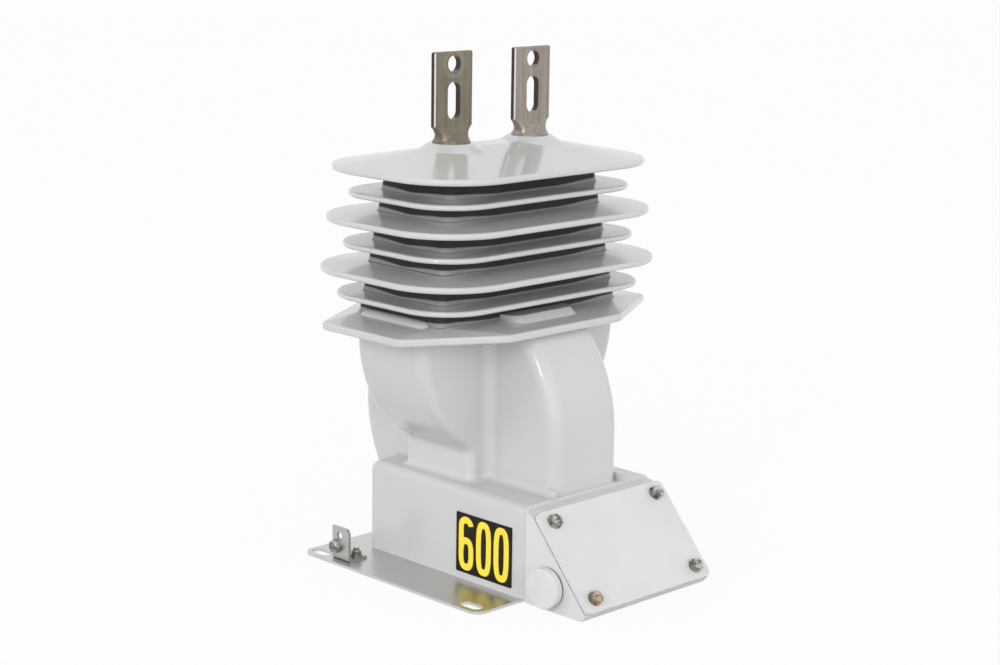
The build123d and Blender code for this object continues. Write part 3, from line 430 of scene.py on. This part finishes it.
def tin_finish(look):
    """Tinned copper bar: a dull skin, streaked along the bar, with tarnish patches and a ring worn round
    each hole.

    Painted shade darkens the walls that face sideways, at the pad's sides and in its holes, and a painted
    highlight lightens its rounded front edges.
    """
    f = Finish("tinned_copper")
    streaks = f.noise(f.stretched(300, 300, 7), scale=1, detail=2)
    patches = f.noise(f.stretched(50, 50, 20), scale=1, detail=3)
    fine = f.noise(f.place, scale=1500, detail=2)
    plain = f.blend(f.step(f.x, -0.01, 0.01), look.tin_left, look.tin_right)
    tone = f.blend(1.0, plain, f.step(streaks, 0.25, 0.75, 0.86, 1.16), "MULTIPLY")
    stain = f.step(patches, 0.46, 0.70, 0.0, 0.55)
    tone = f.blend(stain, tone, f.blend(1.0, plain, (0.84, 0.72, 0.66), "MULTIPLY"))
    from_hole = f.length(abs(f.x) - TERMINAL_X, f.z - HOLE_Z)
    worn = f.step(from_hole, *WORN_FROM) * f.step(from_hole, *WORN_TO, 1.0, 0.0)
    tone = f.blend(worn * 0.25, tone, tinted(look.tin_right, 1.3))
    sideways = abs(f.facing("X"))
    from_middle = abs(abs(f.x) - TERMINAL_X)
    pad = f.step(f.z, PAD_FOOT_Z, PAD_FOOT_Z + 0.002)
    at_front = f.step(f.y, HIGHLIGHT_DEPTH[0] - PAD_FRONT_Y, HIGHLIGHT_DEPTH[1] - PAD_FRONT_Y, 1.0, 0.0)
    at_side = f.step(from_middle, PAD_HALF - HIGHLIGHT_WIDTH[0], PAD_HALF - HIGHLIGHT_WIDTH[1])
    # Painted highlight on the pads' rounded front edges
    highlighted = f.step(sideways, 0.25, 0.45) * pad * at_front * at_side
    # Painted shade on the walls that face sideways, at the pad's sides and in its holes
    shaded = f.step(sideways, 0.5, 0.7) * pad * (1 - highlighted)
    tone = f.blend(highlighted, tone, look.edge)
    tone = f.blend(shaded, tone, look.shaded)
    f.give("Base Color", tone)
    f.give("Metallic", f.step(shaded, 0.0, 1.0, 0.92, 0.5))
    f.give("Roughness", f.step(patches, 0.3, 0.7, 0.30, 0.42) + highlighted * 0.08)
    f.bump(streaks * 0.7 + fine * 0.3, strength=0.10, depth=0.0002)
    return f.material


def sheet_finish(name, colour, gloss):
    """Brushed stainless sheet: hair lines along X with a few handling scratches."""
    f = Finish(name)
    hairs = f.noise(f.stretched(26, 1700, 900), scale=1, detail=3)
    bands = f.noise(f.stretched(5, 90, 60), scale=1, detail=2)
    smears = f.noise(f.place, scale=22, detail=4)
    tone = f.blend(f.step(hairs, 0.3, 0.7), tinted(colour, 0.94), tinted(colour, 1.05))
    tone = f.blend(f.step(smears, 0.55, 0.75, 0.0, 0.30), tone, tinted(colour, 0.88))
    f.give("Base Color", tone)
    f.give("Metallic", 1.0)
    brushed = f.step(hairs, 0.2, 0.8, gloss - 0.04, gloss + 0.04)
    f.give("Roughness", brushed + f.step(bands, 0.3, 0.7, 0.0, 0.02))
    scratch = f.step(f.noise(f.stretched(900, 30, 30), scale=1, detail=1), 0.68, 0.72)
    f.bump(hairs * 0.6 + scratch * 0.4, strength=0.08, depth=0.0001)
    return f.material


def paint_finish(look):
    """Sprayed paint on cast aluminium: an even pale coat with dust specks and a fine orange-peel skin."""
    f = Finish("box_paint")
    peel = f.noise(f.place, scale=720, detail=2)
    clouds = f.noise(f.place, scale=20, detail=3)
    dust = f.step(f.noise(f.place, scale=260, detail=1), 0.72, 0.78, 0.0, 0.25)
    tone = f.blend(f.step(clouds, 0.3, 0.7), tinted(look.paint, 0.975), tinted(look.paint, 1.02))
    f.give("Base Color", f.blend(dust, tone, tinted(look.paint, 0.86)))
    f.give("Roughness", f.step(clouds, 0.3, 0.7, 0.34, 0.44))
    f.bump(peel, strength=0.16, depth=0.0002)
    return f.material


def moulding_finish(name, colour, gloss, grain=600, shine=0.5):
    """Moulded plastic: a satin skin with a fine spark-eroded grain."""
    f = Finish(name)
    f.give("Specular IOR Level", shine)
    skin = f.noise(f.place, scale=grain, detail=3)
    clouds = f.noise(f.place, scale=30, detail=2)
    f.give("Base Color", f.blend(f.step(clouds, 0.3, 0.7), tinted(colour, 0.94), tinted(colour, 1.05)))
    f.give("Roughness", f.step(skin, 0.3, 0.7, gloss - 0.05, gloss + 0.07))
    f.bump(skin, strength=0.14, depth=0.00015)
    return f.material


def rubber_finish(name, colour):
    """Moulded rubber with a dull, slightly blooming skin."""
    f = Finish(name)
    bloom = f.noise(f.place, scale=120, detail=3)
    f.give("Base Color", f.blend(f.step(bloom, 0.4, 0.8), colour, tinted(colour, 1.6)))
    f.give("Roughness", f.step(bloom, 0.3, 0.7, 0.55, 0.72))
    f.bump(f.noise(f.place, scale=1400, detail=2), strength=0.2, depth=0.0001)
    return f.material


def plated_finish(name, colour, gloss, stain_and_reflection=0.8):
    """Plated or bare small hardware: machining marks, dark patches that are partly tarnish and partly
    painted dark reflection, and painted shade on the sides that stand upright.

    The plating has turned brown where the cover's lower left screw is.
    """
    f = Finish(name)
    marks = f.noise(f.stretched(900, 900, 2600), scale=1, detail=2)
    # Dark patches: partly tarnish and partly painted dark reflection
    stains_and_reflections = f.noise(f.place, scale=190, detail=3)
    tone = f.blend(f.step(marks, 0.3, 0.7), tinted(colour, 0.70), tinted(colour, 1.30))
    tone = f.blend(f.step(stains_and_reflections, 0.46, 0.58, 0.0, stain_and_reflection), tone, tinted(colour, 0.16))
    turned = f.step(f.z, *BROWN_Z, 0.6, 0.0) * f.step(f.x, *BROWN_X, 1.0, 0.0)
    turned = turned * f.step(f.y, *BROWN_Y, 1.0, 0.0)
    tone = f.blend(turned, tone, (colour[0] * 0.85, colour[1] * 0.66, colour[2] * 0.45))
    # Painted shade on the faces that stand upright
    upright = f.step(abs(f.facing("Z")), 0.15, 0.60, 0.75, 0.0)
    tone = f.blend(upright, tone, tinted(colour, 0.20))
    f.give("Base Color", tone)
    f.give("Metallic", 1.0)
    f.give("Roughness", f.step(stains_and_reflections, 0.3, 0.7, gloss, gloss + 0.16))
    f.bump(marks, strength=0.15, depth=0.0001)
    return f.material


def core_finish():
    """Wound core strip: close turns seen on edge, which ring the core's axis.

    The turns are sin(2 pi r / pitch), where r is the distance from the axis.
    """
    f = Finish("core_steel")
    radius = f.length(f.y, f.z - RING_Z)
    turns = f.sum("SINE", radius * (2 * math.pi / TURN_PITCH)) * 0.5 + 0.5
    tone = f.noise(f.place, scale=60, detail=3)
    f.give("Base Color", f.blend(f.step(tone, 0.3, 0.7), (0.20, 0.21, 0.23), (0.33, 0.34, 0.36)))
    f.give("Metallic", 0.9)
    f.give("Roughness", f.step(tone, 0.3, 0.7, 0.38, 0.55))
    f.bump(turns, strength=0.3, depth=0.0002)
    return f.material


def tape_finish():
    """Glass tape wrapped round the winding: laps that cross the ring, with a resin-wet sheen.

    A lap is the fraction of laps * angle / (2 pi) + slant * x, where the angle goes round the ring's axis.
    """
    f = Finish("winding_tape")
    angle = f.sum("ARCTAN2", f.y, f.z - RING_Z)
    laps = f.sum("FRACT", angle * (TAPE_LAPS / (2 * math.pi)) + f.x * TAPE_SLANT)
    weave = f.noise(f.place, scale=900, detail=2)
    tone = f.blend(f.step(laps, 0.0, 0.9), (0.30, 0.17, 0.06), (0.52, 0.34, 0.15))
    f.give("Base Color", f.blend(f.step(weave, 0.5, 0.8, 0.0, 0.3), tone, (0.62, 0.48, 0.28)))
    f.give("Roughness", f.step(weave, 0.3, 0.7, 0.42, 0.60))
    f.bump(laps * 0.7 + weave * 0.3, strength=0.4, depth=0.0004)
    return f.material


def ink_finish(look):
    """Screen-printed ink: strong and even, a little thinner towards its grain."""
    f = Finish("label_ink")
    grain = f.noise(f.place, scale=1100, detail=2)
    thin = (look.ink[0] * 0.93, look.ink[1] * 0.80, look.ink[2] * 0.6)
    f.give("Base Color", f.blend(f.step(grain, 0.35, 0.75), look.ink, thin))
    f.give("Roughness", f.step(grain, 0.3, 0.7, 0.38, 0.50))
    return f.material


def floor_finish():
    """Pale floor: white where it is seen, but for the object's faint shadow, and mid grey to soft light."""
    f = Finish("floor_white")
    seen = f.seen()
    f.give("Base Color", f.blend(seen, (FLOOR_TONE,) * 3, (FLOOR_SEEN_TONE,) * 3))
    f.give("Roughness", 0.9)
    f.give("Specular IOR Level", 0.1)
    white = f.node("ShaderNodeEmission", {}, {"Color": (1, 1, 1), "Strength": 1.0})
    f.show(f.node("ShaderNodeMixShader", {}, {0: seen * FLOOR_WHITE, 1: f.skin, 2: white}))
    return f.material


def dress(finish, *nodes):
    """Gives a finish to CAD nodes, in place of the one that they came with."""
    for name in nodes:
        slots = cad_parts[name].data.materials
        slots.clear()
        slots.append(finish)


def surface(name, grid, finish, slot, around=True, along=False):
    """A mesh over a grid of points: each cell is a face, and columns and rows may close on themselves."""
    rows, columns = grid.shape[:2]
    row = np.arange(rows if along else rows - 1)
    column = np.arange(columns if around else columns - 1)
    low_row, low_column = (a.ravel() for a in np.meshgrid(row, column, indexing="ij"))
    high_row, high_column = (low_row + 1) % rows, (low_column + 1) % columns
    corners = [low_row * columns + low_column, low_row * columns + high_column,
               high_row * columns + high_column, high_row * columns + low_column]
    faces = np.stack(corners, axis=1)
    mesh = bpy.data.meshes.new(name)
    mesh.from_pydata(grid.reshape(-1, 3).tolist(), [], faces.tolist())
    mesh.materials.append(finish)
    piece = bpy.data.objects.new(name, mesh)
    bpy.context.scene.collection.objects.link(piece)
    if slot:
        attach(piece, "root")
    return piece


def stroke_on_label(name, path, width, lift, closed, finish):
    """A printed stroke: at each point of a flat path, a low trapezium across the path, wider at its foot.

    The path is in the label's own plane, first reading direction and then up, and the label faces -X.
    """
    ahead = np.roll(path, -1, axis=0) - np.roll(path, 1, axis=0)
    if not closed:
        ahead[0], ahead[-1] = path[1] - path[0], path[-1] - path[-2]
    ahead /= np.linalg.norm(ahead, axis=1, keepdims=True)
    side = np.stack([-ahead[:, 1], ahead[:, 0]], axis=1)
    across = np.array([-0.5, -0.47, 0.47, 0.5]) * width
    out = np.array([0.0, 1.0, 1.0, 0.0]) * lift
    flat = path[:, None, :] + side[:, None, :] * across[None, :, None]
    lows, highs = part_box("rating_label")
    grid = np.empty(flat.shape[:2] + (3,))
    grid[..., 0] = lows.x - PRINT_OFF_FILM - out[None, :]
    grid[..., 1] = (lows.y + highs.y) / 2 - flat[..., 0]
    grid[..., 2] = (lows.z + highs.z) / 2 + flat[..., 1]
    return surface(name, grid, finish, "label_film", around=False, along=closed)


def ring_path(centre, half_width, half_height, power, count=72):
    """A closed oval: a superellipse, which is a circle at a power of 2 and squarer above it.

    Each half size is multiplied by the sine or cosine's sign and by its size raised to 2 / power.
    """
    t = np.linspace(0, 2 * math.pi, count, endpoint=False)
    c, s = np.cos(t), np.sin(t)
    x = half_width * np.sign(c) * np.abs(c) ** (2 / power)
    y = half_height * np.sign(s) * np.abs(s) ** (2 / power)
    return np.stack([centre[0] + x, centre[1] + y], axis=1)


def stadium_path(centre, half_width, half_height, first, last, count=60):
    """Part of a tall rounded track, from one turn to another: half circles above and below straight sides.

    It is a circle of half the width, moved up or down by half the straight's length times a steep ramp of
    the sine.
    """
    t = np.linspace(first, last, count) * 2 * math.pi
    straight = half_height - half_width
    x = centre[0] + half_width * np.cos(t)
    y = centre[1] + half_width * np.sin(t) + straight * np.clip(np.sin(t) * 6, -1, 1)
    return np.stack([x, y], axis=1)


class TRANSFORMER_OT_casting(bpy.types.Operator):
    """Finish the resin casting"""
    bl_idname = "transformer.casting"
    bl_label = "Casting"

    def execute(self, context):
        dress(resin_finish(context.scene.transformer_casting), "resin_body")
        return {"FINISHED"}


class TRANSFORMER_OT_terminals(bpy.types.Operator):
    """Finish the two primary terminals"""
    bl_idname = "transformer.terminals"
    bl_label = "Terminals"

    def execute(self, context):
        dress(tin_finish(context.scene.transformer_metal), "terminal_left", "terminal_right")
        return {"FINISHED"}


class TRANSFORMER_OT_plate(bpy.types.Operator):
    """Finish the base plate and the ground lug"""
    bl_idname = "transformer.plate"
    bl_label = "Plate and lug"

    def execute(self, context):
        look = context.scene.transformer_metal
        dress(sheet_finish("plate_steel", tuple(look.plate), 0.34), "base_plate")
        dress(sheet_finish("lug_steel", tinted(look.plate, 0.80), 0.34), "ground_lug")
        return {"FINISHED"}


class TRANSFORMER_OT_box(bpy.types.Operator):
    """Finish the secondary box, its cover, gasket, plug and seal"""
    bl_idname = "transformer.box"
    bl_label = "Secondary box"

    def execute(self, context):
        look = context.scene.transformer_box
        dress(paint_finish(look), "box_housing", "box_cover")
        dress(rubber_finish("gasket_rubber", (0.36, 0.36, 0.36)), "cover_gasket")
        # The seal is real rubber, and its dark colour also stands in for the shadow round the plug
        dress(rubber_finish("seal_rubber", (0.060, 0.058, 0.068)), "plug_seal")
        dress(moulding_finish("plug_moulding", tuple(look.plug), 0.36, grain=420), "conduit_plug")
        return {"FINISHED"}


class TRANSFORMER_OT_hardware(bpy.types.Operator):
    """Finish the screws, nuts, washers, studs and inserts"""
    bl_idname = "transformer.hardware"
    bl_label = "Hardware"

    def execute(self, context):
        look = context.scene.transformer_metal
        zinc = plated_finish("zinc_steel", tuple(look.hardware), 0.29)
        dress(zinc, "box_screws", "box_ground_screw", "cover_washers", "cover_screws", "plate_screws")
        fresh = plated_finish("fresh_zinc", tinted(look.hardware, 1.25), 0.33, stain_and_reflection=0.25)
        dress(fresh, "lug_stud", "lug_washer", "lug_nut", "ground_bolt", "ground_washers", "ground_nut")
        brass = plated_finish("brass", (0.55, 0.38, 0.13), 0.29)
        dress(brass, "secondary_studs", "stud_washers", "stud_nuts", "shorting_link")
        dress(brass, "box_inserts", "plate_inserts")
        return {"FINISHED"}


class TRANSFORMER_OT_inner(bpy.types.Operator):
    """Finish the core, the winding, the primary bar, the leads and the terminal block"""
    bl_idname = "transformer.inner"
    bl_label = "Inner parts"

    def execute(self, context):
        dress(core_finish(), "ring_core")
        dress(tape_finish(), "secondary_winding")
        dress(plated_finish("copper", (0.62, 0.27, 0.14), 0.30), "primary_bar")
        dress(moulding_finish("lead_cover", (0.30, 0.02, 0.015), 0.40), "secondary_leads")
        dress(moulding_finish("black_moulding", (0.018, 0.018, 0.019), 0.38), "terminal_block")
        return {"FINISHED"}


class TRANSFORMER_OT_label(bpy.types.Operator):
    """Finish the rating label and print its three digits"""
    bl_idname = "transformer.label"
    bl_label = "Rating label"

    def execute(self, context):
        look = context.scene.transformer_label
        dress(moulding_finish("label_film", tuple(look.film), 0.36, grain=900, shine=0.15), "rating_label")
        ink = ink_finish(look)
        half_x = (look.digit_width - look.stroke) / 2
        half_y = (look.digit_height - look.stroke) / 2
        pitch = look.digit_width + DIGIT_GAP
        for index, place in enumerate((0, pitch)):
            ring = ring_path((place, 0), half_x, half_y, power=3.2)
            stroke_on_label(f"digit_zero_{index + 1}", ring, look.stroke, PRINT_LIFT, True, ink)
        bowl_half = half_y * BOWL_SHARE
        bowl = ring_path((-pitch, -half_y + bowl_half), half_x, bowl_half, power=2.8)
        stroke_on_label("digit_six_bowl", bowl, look.stroke, PRINT_LIFT, True, ink)
        spine = stadium_path((-pitch, 0), half_x, half_y, first=0.04, last=0.5)
        foot = np.array([[-pitch - half_x, -half_y + bowl_half]])
        spine = np.concatenate([spine, foot])
        stroke_on_label("digit_six_spine", spine, look.stroke, CROSSING_LIFT, False, ink)
        return {"FINISHED"}


class TRANSFORMER_OT_stage(bpy.types.Operator):
    """Set up the floor, the pale surroundings, the lamps and the camera"""
    bl_idname = "transformer.stage"
    bl_label = "Studio stage"

    def execute(self, context):
        look = context.scene.transformer_stage
        self.floor()
        self.surroundings(look.horizon, look.zenith)
        for name, (place, size) in LAMPS.items():
            self.lamp(f"{name}_lamp", place, size, getattr(look, name))
        self.camera()
        context.scene.view_settings.view_transform = "Standard"
        return {"FINISHED"}

    def floor(self):
        """A flat square floor at the height of the plate's underside, as an even grid."""
        t = np.linspace(-FLOOR_HALF, FLOOR_HALF, 9)
        x, y = np.meshgrid(t, t, indexing="ij")
        grid = np.stack([x, y, np.zeros_like(x)], axis=-1)
        surface("floor", grid, floor_finish(), None, around=False)

    def surroundings(self, horizon, zenith):
        """A world that is white where it is seen, and whose light changes from the horizon upwards."""
        world = bpy.data.worlds.new("pale_surroundings")
        world.use_nodes = True
        bpy.context.scene.world = world
        w = Nodes(world.node_tree, "ShaderNodeOutputWorld")
        up = w.part(w.node("ShaderNodeTexCoord", {}, {}, "Generated"), "Z")
        light = w.step(up, HORIZON_UP, ZENITH_UP, horizon, zenith, course="LINEAR")
        plain = w.node("ShaderNodeBackground", {}, {"Color": (1, 1, 1), "Strength": light})
        white = w.node("ShaderNodeBackground", {}, {"Color": (1, 1, 1), "Strength": 1.0})
        w.show(w.node("ShaderNodeMixShader", {}, {0: w.seen(), 1: plain, 2: white}))

    def lamp(self, name, place, size, power):
        """A rectangular soft lamp that faces the middle of the object."""
        data = bpy.data.lights.new(name, "AREA")
        data.shape = "RECTANGLE"
        data.size, data.size_y = size
        data.energy = power
        lamp = bpy.data.objects.new(name, data)
        lamp.location = place
        aim = Vector(LAMP_AIM) - Vector(place)
        lamp.rotation_euler = aim.to_track_quat("-Z", "Y").to_euler()
        bpy.context.scene.collection.objects.link(lamp)

    def camera(self):
        """A camera at the front left, a little above, with the photograph's lens.

        It looks along (sin yaw cos pitch, cos yaw cos pitch, sin pitch), and is then rolled about that line.
        """
        yaw, pitch, roll = (math.radians(a) for a in CAMERA_TURN)
        forward = Vector((math.sin(yaw) * math.cos(pitch), math.cos(yaw) * math.cos(pitch), math.sin(pitch)))
        level = Vector((math.cos(yaw), -math.sin(yaw), 0))
        upright = level.cross(forward)
        right = level * math.cos(roll) + upright * math.sin(roll)
        up = upright * math.cos(roll) - level * math.sin(roll)
        data = bpy.data.cameras.new("camera")
        data.sensor_fit = "HORIZONTAL"
        data.sensor_width = SENSOR_WIDTH
        data.lens = CAMERA_LENS
        data.clip_end = CAMERA_END
        camera = bpy.data.objects.new("camera", data)
        turn = Matrix((right, up, -forward)).transposed().to_4x4()
        camera.matrix_world = Matrix.Translation(CAMERA_PLACE) @ turn
        bpy.context.scene.collection.objects.link(camera)
        bpy.context.scene.camera = camera


class TRANSFORMER_PT_panel(bpy.types.Panel):
    """Lists the transformer's pieces and their finishes"""
    bl_idname = "TRANSFORMER_PT_panel"
    bl_label = "Current transformer"
    bl_space_type = "VIEW_3D"
    bl_region_type = "UI"
    bl_category = "Transformer"

    def draw(self, context):
        layout = self.layout
        for step in STEPS:
            layout.operator(step.bl_idname)
        for name, group in LOOKS.items():
            settings = getattr(context.scene, name)
            box = layout.box()
            box.label(text=group.__doc__)
            for field in group.__annotations__:
                box.prop(settings, field)


LOOKS = {
    "transformer_casting": CastingLook,
    "transformer_metal": MetalLook,
    "transformer_box": BoxLook,
    "transformer_label": LabelLook,
    "transformer_stage": StageLook,
}
STEPS = (TRANSFORMER_OT_casting, TRANSFORMER_OT_terminals, TRANSFORMER_OT_plate, TRANSFORMER_OT_box,
         TRANSFORMER_OT_hardware, TRANSFORMER_OT_inner, TRANSFORMER_OT_label, TRANSFORMER_OT_stage)


def register():
    """Adds the settings, the operators and the panel."""
    for group in (*LOOKS.values(), *STEPS, TRANSFORMER_PT_panel):
        bpy.utils.register_class(group)
    for name, group in LOOKS.items():
        setattr(bpy.types.Scene, name, PointerProperty(type=group))


def unregister():
    """Takes the settings, the operators and the panel away again."""
    for name in LOOKS:
        delattr(bpy.types.Scene, name)
    for group in reversed((*LOOKS.values(), *STEPS, TRANSFORMER_PT_panel)):
        bpy.utils.unregister_class(group)


def main():
    """Registers the add-on and runs every operator in order."""
    register()
    for step in STEPS:
        family, name = step.bl_idname.split(".")
        getattr(getattr(bpy.ops, family), name)()


if __name__ == "__main__":
    main()
